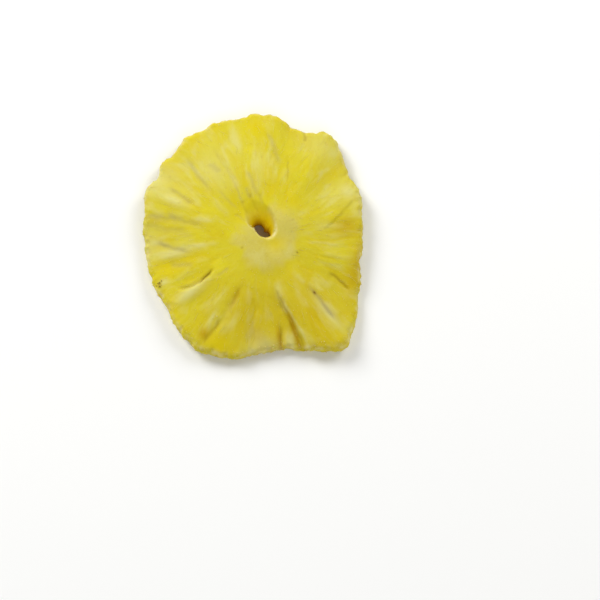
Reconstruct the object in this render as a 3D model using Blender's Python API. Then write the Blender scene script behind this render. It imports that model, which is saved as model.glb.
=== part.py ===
"""A dried pineapple ring: one cored slice of fruit, domed, lobed and creased by drying.

The ring starts as a plain turned blank, whose radius runs from the hole to the rim and
whose height runs from the underside to the top.  Each of its points is then put where the
real ring has it.  Lengths are in millimetres until the mesh is written in metres.  Places
on the ring are given about the middle of its core, where the fibres meet, as a bearing in
degrees, counter-clockwise from +X, and a reach.
"""

from dataclasses import dataclass
import math

import bmesh
import bpy
import numpy as np

METRES_PER_MM = 0.001
NODE = "pineapple_ring"

# How finely the ring is cut into facets.
SECTORS = 144
TOP_STEPS = 15
RIM_STEPS = 8
UNDER_STEPS = 9
WALL_STEPS = 6
# A crease narrower than this would be lost between the facets, so it is cut this wide.
FINEST_CREASE = 1.9

# The blank's bore has radius 1 and its rim radius 2, and it stands from -1 to +1.
BLANK_BORE = 1.0
RIM_ROUND = 0.085
WALL_ROUND = 0.035
EDGE_SQUARENESS = 0.7

# The cut edge of the slice: bearing and reach of each lobe's crown and each notch.
RIM = (
    (12, 30.9), (28, 33.6), (38, 34.3), (50, 37.8), (60, 41.5), (68, 39.6), (75, 39.4),
    (84, 41.8), (94, 43.3), (101, 42.6), (110, 43.3), (117, 42.1), (126, 43.0), (133, 40.8),
    (140, 41.6), (146, 39.4), (155, 40.5), (165, 37.7), (180, 36.3), (203, 35.1), (217, 35.3),
    (239, 37.6), (252, 36.1), (264, 33.9), (280, 32.1), (291, 34.3), (307, 39.6), (317, 37.3),
    (335, 31.9), (355, 29.6),
)
# Small unevenness of the cut edge: waves round the rim, depth and phase of each.
RIM_RIPPLES = ((13, 0.20, 0.4), (21, 0.16, 2.1))

# Heights of the slice.
CORE_THICKNESS = 8.6
RIM_THICKNESS = 4.8
MIDDLE_HEIGHT = 5.1
DROOP = 2.7
DROOP_REACH = 36.0
CREST_X = -3.5
CREST_Y = 5.0
# The rim's own warp: waves round the ring, height and phase of each.
RIM_WAVES = ((5, 0.55, 0.7), (8, 0.35, -2.97))
LOBE_LIFT = 0.35
LOBE_SPREAD = 17.0
UNDERSIDE_RELIEF = 0.6
UNDERSIDE_TURN = 155.0

# The hole: an upright throat that flares into a wider mouth, slid towards +Y and turned.
THROAT_X = -0.4
THROAT_Y = 4.4
THROAT_HALF_X = 2.9
THROAT_HALF_Y = 2.9
THROAT_POWER = 2.8
MOUTH_X = -0.8
MOUTH_Y = 6.6
MOUTH_HALF_X = 3.9
MOUTH_HALF_Y = 6.2
MOUTH_TURN = 26.0
MOUTH_FLARE_FROM = -0.5
MOUTH_FLARE_POWER = 2.2
FOOT_FLARE = 0.5

# The raised core round the hole.
CORE_X = 1.4
CORE_Y = 0.3
CORE_RADIUS = 9.0
CORE_EDGE = 1.6
CORE_LIFT = 0.45

FLESH_COLOUR = (0.665, 0.527, 0.058, 1.0)
FLESH_ROUGHNESS = 0.48


def smooth(low, high, value):
    """A smooth step from 0 at low to 1 at high."""
    part = np.clip((value - low) / (high - low), 0.0, 1.0)
    return part * part * (3.0 - 2.0 * part)


def blend(start, end, part):
    """The value part of the way from start to end."""
    return start + (end - start) * part


@dataclass(frozen=True)
class Furrow:
    """A crease that runs outwards along the fibres, from start to end."""

    bearing: float
    sweep: float
    start: float
    end: float
    width: float
    depth: float
    bow: float = 0.0

    def relief(self, bearing, reach):
        """The height that the crease adds, in mm, so it is negative."""
        along = (reach - self.start) / (self.end - self.start)
        part = np.clip(along, 0.0, 1.0)
        path = self.bearing + self.sweep * part + 4.0 * self.bow * part * (1.0 - part)
        turn = np.radians(bearing - path)
        side = reach * np.sin(turn) / max(self.width, FINEST_CREASE)
        inside = smooth(0.0, 0.25, along) * (1.0 - smooth(0.75, 1.0, along))
        facing = np.cos(turn) > 0.0
        return -self.depth * inside * facing * np.exp(-side ** 2)


@dataclass(frozen=True)
class Mound:
    """A swelling of the flesh, or a hollow where its height is negative."""

    bearing: float
    reach: float
    length: float
    width: float
    height: float

    def relief(self, bearing, reach):
        """The height that the swelling adds, in mm."""
        turn = np.radians(bearing - self.bearing)
        along = reach * np.cos(turn) - self.reach
        side = reach * np.sin(turn)
        return self.height * np.exp(-(along / self.length) ** 2 - (side / self.width) ** 2)


FURROWS = (
    # The long crease that parts two lobes at the front, and the short one beside it.
    Furrow(288.2, 6.2, 14.0, 42.0, 1.1, 1.8),
    Furrow(282.2, -3.0, 24.5, 40.0, 0.9, 1.0),
    # The open crack on the left.
    Furrow(209.6, -1.5, 16.0, 30.5, 0.9, 1.4, 3.2),
    # The long hollow and the slit on the right.
    Furrow(317.4, -5.6, 18.0, 36.5, 1.5, 0.9),
    Furrow(337.8, -5.0, 21.5, 30.0, 1.0, 0.9),
    # The fold across the drooping right side.
    Furrow(6.5, 19.0, 15.5, 32.5, 1.4, 0.7),
    # Furrows of the far side, from right to left.
    Furrow(70.0, 3.5, 19.8, 28.5, 0.6, 0.7),
    Furrow(78.6, 10.3, 24.5, 36.5, 1.4, 0.8),
    Furrow(96.3, 7.0, 13.5, 24.0, 1.1, 0.6),
    Furrow(115.0, 2.0, 18.0, 35.0, 1.3, 0.5),
    Furrow(135.5, -3.5, 22.0, 37.5, 1.4, 0.9),
    # Furrows of the left side, and of the front left.
    Furrow(150.6, -3.0, 23.5, 36.5, 1.3, 0.8),
    Furrow(166.3, 2.5, 16.5, 41.0, 1.4, 0.9, -2.2),
    Furrow(173.5, -3.0, 21.0, 39.0, 1.2, 0.5),
    Furrow(188.9, -9.9, 21.5, 33.5, 1.2, 0.8),
    Furrow(244.8, -3.8, 14.0, 37.5, 1.2, 0.8),
    Furrow(263.0, 2.0, 17.0, 33.0, 1.3, 0.5),
)

MOUNDS = (
    # Lobes that stand over the creases at the front.
    Mound(297.5, 27.5, 9.0, 3.2, 0.7),
    Mound(286.5, 30.5, 4.0, 1.7, 0.5),
    Mound(272.5, 29.0, 4.5, 3.6, 0.5),
    # The pale bank below the crack, and the pale pads of the left side.
    Mound(214.0, 28.0, 6.0, 1.9, 0.9),
    Mound(154.5, 29.5, 4.2, 1.9, 0.5),
    Mound(186.0, 27.0, 4.5, 1.9, 0.5),
    # The ridge right of the hole, and the shallow dips beside the hole.
    Mound(46.0, 9.4, 3.2, 3.6, 0.6),
    Mound(345.0, 3.4, 2.6, 2.6, -0.5),
    Mound(114.0, 11.0, 5.0, 4.5, -1.0),
)


def rim_reach(bearing):
    """The rim's reach at each bearing: a smooth closed curve through the points of RIM."""
    spots = np.array([point[0] for point in RIM], dtype=float)
    reaches = np.array([point[1] for point in RIM])
    bearing = np.mod(bearing, 360.0)
    first = np.searchsorted(spots, bearing, side="right") - 1
    second = first + 1
    count = len(RIM)

    def spot(index):
        """The bearing of a point, where an index past either end goes on round the ring."""
        return spots[index % count] + 360.0 * (index // count)

    def slope(index):
        """The slope of the curve at a point, from its two neighbours."""
        rise = reaches[(index + 1) % count] - reaches[(index - 1) % count]
        return rise / (spot(index + 1) - spot(index - 1))

    span = spot(second) - spot(first)
    part = (bearing - spot(first)) / span
    pull_first = part * (1.0 - part) ** 2 * span * slope(first)
    pull_second = part ** 2 * (part - 1.0) * span * slope(second)
    eased = part * part * (3.0 - 2.0 * part)
    return blend(reaches[first % count], reaches[second % count], eased) + pull_first + pull_second


def uneven_rim_reach(bearing):
    """The rim's reach with the small unevenness of the cut edge."""
    reach = rim_reach(bearing)
    for waves, depth, phase in RIM_RIPPLES:
        reach = reach + depth * np.sin(np.radians(bearing) * waves + phase)
    return reach


def hole_edge(bearing, level):
    """The plan place of the hole's wall, x and y, at each bearing and level."""
    opening = np.clip((level - MOUTH_FLARE_FROM) / (1.0 - MOUTH_FLARE_FROM), 0.0, 1.0)
    opening = opening ** MOUTH_FLARE_POWER
    flare = FOOT_FLARE * smooth(0.4, 1.0, -level)
    half_x = blend(THROAT_HALF_X, MOUTH_HALF_X, opening) + flare
    half_y = blend(THROAT_HALF_Y, MOUTH_HALF_Y, opening) + flare
    turned = np.radians(bearing - MOUTH_TURN * opening)
    power = blend(THROAT_POWER, 2.0, opening)
    size = np.abs(np.cos(turned) / half_x) ** power + np.abs(np.sin(turned) / half_y) ** power
    radius = size ** (-1.0 / power)
    x = blend(THROAT_X, MOUTH_X, opening) + radius * np.cos(np.radians(bearing))
    y = blend(THROAT_Y, MOUTH_Y, opening) + radius * np.sin(np.radians(bearing))
    return x, y


def flesh_relief(bearing, reach):
    """The height that the creases and swellings of the flesh add, in mm."""
    height = np.zeros_like(reach)
    for feature in FURROWS + MOUNDS:
        height = height + feature.relief(bearing, reach)
    return height


def core_lift(x, y):
    """The height of the raised core, in mm."""
    distance = np.hypot(x - CORE_X, y - CORE_Y)
    return CORE_LIFT * (1.0 - smooth(CORE_RADIUS - CORE_EDGE, CORE_RADIUS + CORE_EDGE, distance))


def middle_height(x, y, outward):
    """The height of the slice's middle surface: a dome with a warped rim."""
    bearing = np.arctan2(y, x)
    droop = ((x - CREST_X) ** 2 + (y - CREST_Y) ** 2) / DROOP_REACH ** 2
    height = MIDDLE_HEIGHT - DROOP * droop
    for waves, rise, phase in RIM_WAVES:
        height = height + rise * np.sin(bearing * waves + phase) * outward ** 2
    return height


def shaped(blank):
    """The blank's points put where the ring has them: an array of x, y and z in mm."""
    bearing = np.degrees(np.arctan2(blank[:, 1], blank[:, 0]))
    outward = np.hypot(blank[:, 0], blank[:, 1]) - BLANK_BORE
    level = blank[:, 2]

    hole_x, hole_y = hole_edge(bearing, level)
    edge = uneven_rim_reach(bearing)
    x = blend(hole_x, edge * np.cos(np.radians(bearing)), outward)
    y = blend(hole_y, edge * np.sin(np.radians(bearing)), outward)

    place = np.degrees(np.arctan2(y, x))
    reach = np.hypot(x, y)
    half = 0.5 * blend(CORE_THICKNESS, RIM_THICKNESS, smooth(0.2, 1.0, outward))
    middle = middle_height(x, y, outward)
    around = rim_reach(place + LOBE_SPREAD) + rim_reach(place - LOBE_SPREAD)
    lobe = LOBE_LIFT * (rim_reach(place) - 0.5 * around) * outward ** 2
    top = middle + half + lobe + core_lift(x, y) + flesh_relief(place, reach)
    hollow = UNDERSIDE_RELIEF * flesh_relief(UNDERSIDE_TURN - place, reach)
    under = np.maximum(middle - half - hollow, 0.0)
    z = blend(under, top, 0.5 * (level + 1.0))
    return np.stack((x, y, z), axis=1)


def rounded_end(steps, depth):
    """The half-round end of the section: how far each point stands out, and its level."""
    points = []
    for step in range(1, steps):
        angle = math.radians(90.0 - 180.0 * step / steps)
        out = depth * math.cos(angle) ** EDGE_SQUARENESS
        level = math.copysign(abs(math.sin(angle)) ** EDGE_SQUARENESS, math.sin(angle))
        points.append((out, level))
    return points


def section():
    """The blank's section as radius and height, clockwise from the top of the hole's wall."""
    inner = BLANK_BORE + WALL_ROUND
    outer = BLANK_BORE + 1.0 - RIM_ROUND
    points = []
    for step in range(TOP_STEPS + 1):
        points.append((blend(inner, outer, step / TOP_STEPS), 1.0))
    for out, level in rounded_end(RIM_STEPS, RIM_ROUND):
        points.append((outer + out, level))
    for step in range(UNDER_STEPS + 1):
        points.append((blend(outer, inner, step / UNDER_STEPS), -1.0))
    for out, level in rounded_end(WALL_STEPS, WALL_ROUND):
        points.append((inner - out, -level))
    return points


def turned_blank(name):
    """A plain ring, made by spinning the section once round."""
    blank = bmesh.new()
    corners = [blank.verts.new((radius, 0.0, height)) for radius, height in section()]
    sides = [blank.edges.new((corners[i - 1], corners[i])) for i in range(len(corners))]
    bmesh.ops.spin(
        blank, geom=corners + sides, cent=(0.0, 0.0, 0.0), axis=(0.0, 0.0, 1.0),
        dvec=(0.0, 0.0, 0.0), angle=math.tau, steps=SECTORS, use_merge=True,
        use_normal_flip=False, use_duplicate=False,
    )
    bmesh.ops.recalc_face_normals(blank, faces=blank.faces)
    mesh = bpy.data.meshes.new(name)
    blank.to_mesh(mesh)
    blank.free()
    return mesh


def flesh_material():
    """The yellow, slightly moist flesh."""
    material = bpy.data.materials.new("dried_pineapple_flesh")
    material.use_nodes = True
    shader = material.node_tree.nodes["Principled BSDF"]
    shader.inputs["Base Color"].default_value = FLESH_COLOUR
    shader.inputs["Roughness"].default_value = FLESH_ROUGHNESS
    shader.inputs["Metallic"].default_value = 0.0
    return material


def pineapple_ring():
    """The ring, with the frame's origin under the middle of its box."""
    mesh = turned_blank(NODE)
    blank = np.empty(len(mesh.vertices) * 3)
    mesh.vertices.foreach_get("co", blank)
    points = shaped(blank.reshape(-1, 3))
    lowest = points.min(axis=0)
    highest = points.max(axis=0)
    points -= ((lowest[0] + highest[0]) / 2.0, (lowest[1] + highest[1]) / 2.0, lowest[2])
    mesh.vertices.foreach_set("co", (points * METRES_PER_MM).ravel())
    mesh.update()
    mesh.shade_smooth()
    mesh.materials.append(flesh_material())
    ring = bpy.data.objects.new(NODE, mesh)
    bpy.context.scene.collection.objects.link(ring)
    return ring


def main():
    """Clear the scene and model the ring."""
    for item in list(bpy.data.objects):
        bpy.data.objects.remove(item, do_unlink=True)
    pineapple_ring()


main()
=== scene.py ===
"""A soft-dried pineapple ring, lying on a pale studio floor.

The flesh is one ring of fruit, turned as a plain blank and then shaped: a low dome with a
lobed and warped rim, a raised core, an off-centre hole and creases along the fibres.  Sizes
are in millimetres, places are about the middle of the core, as a bearing in degrees,
counter-clockwise from +X, and a reach, until a mesh is written in metres in the frame.
"""

from dataclasses import dataclass
from enum import Enum
import logging
import math
from typing import ClassVar

import bmesh
import bpy
import numpy as np
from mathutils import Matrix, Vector, noise
from mathutils.bvhtree import BVHTree


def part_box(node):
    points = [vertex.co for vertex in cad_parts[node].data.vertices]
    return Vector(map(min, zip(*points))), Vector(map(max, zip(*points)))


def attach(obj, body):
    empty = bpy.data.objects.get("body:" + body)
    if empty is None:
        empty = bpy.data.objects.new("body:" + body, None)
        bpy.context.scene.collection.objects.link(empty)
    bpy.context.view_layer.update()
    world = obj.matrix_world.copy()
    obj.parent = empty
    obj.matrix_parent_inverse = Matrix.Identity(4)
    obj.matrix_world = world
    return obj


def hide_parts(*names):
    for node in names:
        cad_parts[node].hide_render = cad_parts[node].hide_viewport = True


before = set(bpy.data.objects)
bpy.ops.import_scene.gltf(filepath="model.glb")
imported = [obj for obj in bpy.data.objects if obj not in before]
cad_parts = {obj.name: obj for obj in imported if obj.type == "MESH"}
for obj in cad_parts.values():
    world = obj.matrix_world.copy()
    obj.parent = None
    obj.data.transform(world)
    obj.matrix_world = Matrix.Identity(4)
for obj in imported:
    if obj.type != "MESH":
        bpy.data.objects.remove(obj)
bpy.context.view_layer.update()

log = logging.getLogger("pineapple_ring")

METRES_PER_MM = 0.001
NODE = "pineapple_ring"
BODY = "root"
PHOTO_PIXELS = 600
# Further beside a crease than any part of the ring, in mm.
FAR_AWAY = 1000.0


def linear(colour: str) -> tuple[float, float, float, float]:
    """Turn an sRGB hex colour into Blender's linear colour.

    Args:
        colour: The colour as "#rrggbb".

    Returns:
        Linear red, green, blue and an alpha of 1.
    """
    parts = [int(colour[place:place + 2], 16) / 255.0 for place in (1, 3, 5)]
    light = [part / 12.92 if part <= 0.04045 else ((part + 0.055) / 1.055) ** 2.4 for part in parts]
    return (light[0], light[1], light[2], 1.0)


def smooth(low: float, high: float, value: np.ndarray) -> np.ndarray:
    """Step smoothly from 0 at low to 1 at high.

    Args:
        low: Where the step begins.
        high: Where the step ends.
        value: The values to place on the step.

    Returns:
        The height of the step at each value.
    """
    part = np.clip((value - low) / (high - low), 0.0, 1.0)
    return part * part * (3.0 - 2.0 * part)


def bell(value: np.ndarray, spread: float) -> np.ndarray:
    """Give 1 where a value is 0, falling to 0 on both sides over about its spread."""
    return np.exp(-(value / spread) ** 2)


def turn_from(bearing: np.ndarray, middle: float) -> np.ndarray:
    """Give how far round each bearing lies from a middle one, from -180 to 180 degrees."""
    return np.mod(bearing - middle + 180.0, 360.0) - 180.0


def blend(start: float, end: float, part: float) -> float:
    """Give the value part of the way from start to end, for numbers and for arrays."""
    return start + (end - start) * part


def wavering(points: np.ndarray, offset: float = 0.0) -> np.ndarray:
    """Sample smooth noise, from about -1 to 1, at each point.

    Args:
        points: An array of x, y and z, scaled so that one unit is one feature of the noise.
        offset: Moves the pattern, so that two calls give two patterns.

    Returns:
        The noise at each point.
    """
    shifted = points + np.array((offset, -offset, 0.5 * offset))
    return np.array([noise.noise(Vector(point)) for point in shifted.tolist()])


def set_up(name: str, shown: bpy.types.ID) -> bpy.types.Object:
    """Put a mesh, a curve, a lamp or a camera into the scene.

    Args:
        name: The object's name.
        shown: The mesh, curve, lamp or camera.

    Returns:
        The object, at the origin.
    """
    holder = bpy.data.objects.new(name, shown)
    bpy.context.scene.collection.objects.link(holder)
    return holder


def applied(holder: bpy.types.Object, name: str) -> bpy.types.Mesh:
    """Make a plain mesh of an object as its modifiers or its bevel shape it.

    Args:
        holder: The object, which is removed.
        name: The mesh's name.

    Returns:
        The mesh.
    """
    shaped = holder.evaluated_get(bpy.context.evaluated_depsgraph_get())
    mesh = bpy.data.meshes.new_from_object(shaped)
    bpy.data.objects.remove(holder)
    mesh.name = name
    return mesh


class Tint(Enum):
    """The flesh's own vertex attributes, each a weight from 0 to 1 for one tone."""

    PALE_AND_HIGHLIGHT = "tint_pale_and_highlight"
    GOLD = "tint_gold"
    DEEP_GOLD_AND_SHADE = "tint_deep_gold_and_shade"
    GREY_AND_SHADE = "tint_grey_and_shade"
    BROWN = "tint_brown_and_shade"
    CORE = "tint_core"
    THROAT = "tint_throat"
    THROAT_FLOOR_BROWN_AND_SHADE = "tint_throat_floor_brown_and_shade"
    EDGE = "tint_dry_edge_and_painted_light"
    RIDGE = "tint_ridge"


class Bed(Enum):
    """What the bottom of a crease looks like; grey and brown beds darken it, partly as painted
    shade.
    """

    PLAIN = "plain"
    PALE_AND_HIGHLIGHT = "pale"
    GOLD = "gold"
    GREY_AND_SHADE = "grey_and_shade"
    BROWN = "brown_and_shade"


@dataclass(frozen=True)
class Furrow:
    """A crease that runs outwards along the fibres.

    It starts at a bearing and turns by its sweep, between a start and an end reach; a
    negative depth makes it a ridge.
    """

    bearing: float
    sweep: float
    start: float
    end: float
    width: float
    depth: float
    bed: Bed = Bed.PLAIN
    # How strongly the bed shows its tone, which in grey and brown beds is partly painted
    # shade, and how far that reaches to each side.
    shade: float = 0.0
    mark: float = 0.45
    # How far it bows out of its way, in degrees, how much higher its counter-clockwise side
    # stands, and how unsteadily it runs.
    bow: float = 0.0
    step: float = 0.0
    wander: float = 0.5

    # How soon each end fades, as a share of the length, how round the groove is, and how
    # sharp and how wide the step beside it is, in mm.
    fade: ClassVar[float] = 0.25
    roundness: ClassVar[float] = 1.6
    step_edge: ClassVar[float] = 0.35
    step_spread: ClassVar[float] = 3.5

    def path(self, reach: np.ndarray) -> np.ndarray:
        """Give the bearing of the crease at each reach."""
        along = np.clip((reach - self.start) / (self.end - self.start), 0.0, 1.0)
        return self.bearing + self.sweep * along + 4.0 * self.bow * along * (1.0 - along)

    def side(self, bearing: np.ndarray, reach: np.ndarray) -> np.ndarray:
        """Measure how far each place lies beside the crease, in mm.

        Args:
            bearing: The bearing of each place.
            reach: The reach of each place.

        Returns:
            The distance, positive on the counter-clockwise side.
        """
        turn = np.radians(bearing - self.path(reach))
        aside = np.where(np.cos(turn) > 0.0, reach * np.sin(turn), FAR_AWAY)
        # Two waves, about 7 and 3 mm long.
        bends = np.sin(0.9 * reach + self.bearing) + 0.6 * np.sin(2.1 * reach + 2.0 * self.bearing)
        return aside + 0.3 * self.wander * bends

    def inside(self, reach: np.ndarray) -> np.ndarray:
        """Give 1 where a reach lies between the crease's ends, fading to 0 at them."""
        along = (reach - self.start) / (self.end - self.start)
        return smooth(0.0, self.fade, along) * (1.0 - smooth(1.0 - self.fade, 1.0, along))

    def relief(self, bearing: np.ndarray, reach: np.ndarray) -> np.ndarray:
        """Work out the crease's groove, and the step of one side above the other.

        Args:
            bearing: The bearing of each place.
            reach: The reach of each place.

        Returns:
            The height that the crease adds, in mm.
        """
        side = self.side(bearing, reach)
        groove = -self.depth * np.exp(-np.abs(side / self.width) ** self.roundness)
        above = np.tanh(side / self.step_edge) * bell(side, self.step_spread)
        return self.inside(reach) * (groove + 0.5 * self.step * above)

    def tone(self, bearing: np.ndarray, reach: np.ndarray) -> np.ndarray:
        """Give how strongly the crease's bed shows its tone at each place."""
        return self.shade * self.inside(reach) * bell(self.side(bearing, reach), self.mark)


@dataclass(frozen=True)
class Strokes:
    """Short lens-shaped strokes along the fibres: pale ones stand up a little, others sink."""

    counts: tuple = ((Bed.PALE_AND_HIGHLIGHT, 48), (Bed.GOLD, 34), (Bed.GREY_AND_SHADE, 8))
    start_low: float = 12.0
    start_high: float = 28.0
    shortest: float = 4.0
    longest: float = 11.0
    narrowest: float = 0.35
    widest: float = 0.9
    shallowest: float = 0.03
    deepest: float = 0.09
    faintest: float = 0.12
    strongest: float = 0.36
    sweep_degrees: float = 2.5
    bow_degrees: float = 0.8
    wander: float = 0.3
    # How far the tone reaches beside a stroke, for its width.
    mark_share: float = 1.4
    seed: int = 5

    def furrows(self) -> tuple[Furrow, ...]:
        """Lay the strokes out.

        Returns:
            The strokes, as small creases and, where they are pale, small ridges.
        """
        chance = np.random.default_rng(self.seed)
        strokes = []
        for bed, count in self.counts:
            for bearing in chance.uniform(0.0, 360.0, count):
                start = chance.uniform(self.start_low, self.start_high)
                width = chance.uniform(self.narrowest, self.widest)
                depth = chance.uniform(self.shallowest, self.deepest)
                strokes.append(Furrow(
                    bearing, chance.normal(0.0, self.sweep_degrees), start,
                    start + chance.uniform(self.shortest, self.longest), width,
                    -depth if bed is Bed.PALE_AND_HIGHLIGHT else depth, bed,
                    chance.uniform(self.faintest, self.strongest), self.mark_share * width,
                    chance.normal(0.0, self.bow_degrees), 0.0, self.wander,
                ))
        return tuple(strokes)


@dataclass(frozen=True)
class Mound:
    """A swelling of the flesh, a hollow where its height is negative, or a patch of tone."""

    bearing: float
    reach: float
    length: float
    width: float
    height: float

    def spread(self, bearing: np.ndarray, reach: np.ndarray) -> np.ndarray:
        """Weigh each place by how near it lies to the middle of the mound.

        Args:
            bearing: The bearing of each place.
            reach: The reach of each place.

        Returns:
            1 at the middle of the mound, falling to 0 around it.
        """
        turn = np.radians(bearing - self.bearing)
        along = (reach * np.cos(turn) - self.reach) / self.length
        side = reach * np.sin(turn) / self.width
        return np.exp(-along ** 2 - side ** 2)

    def relief(self, bearing: np.ndarray, reach: np.ndarray) -> np.ndarray:
        """Give the height that the mound adds, in mm, or the weight of the patch."""
        return self.height * self.spread(bearing, reach)


@dataclass(frozen=True)
class Grid:
    """Where the points of the turned blank lie: their bearings about the hole, in degrees.

    They lie outward from 0 at the hole to 1 at the rim, at a level from -1 at the underside
    to 1 at the top.
    """

    bearing: np.ndarray
    outward: np.ndarray
    level: np.ndarray


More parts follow.
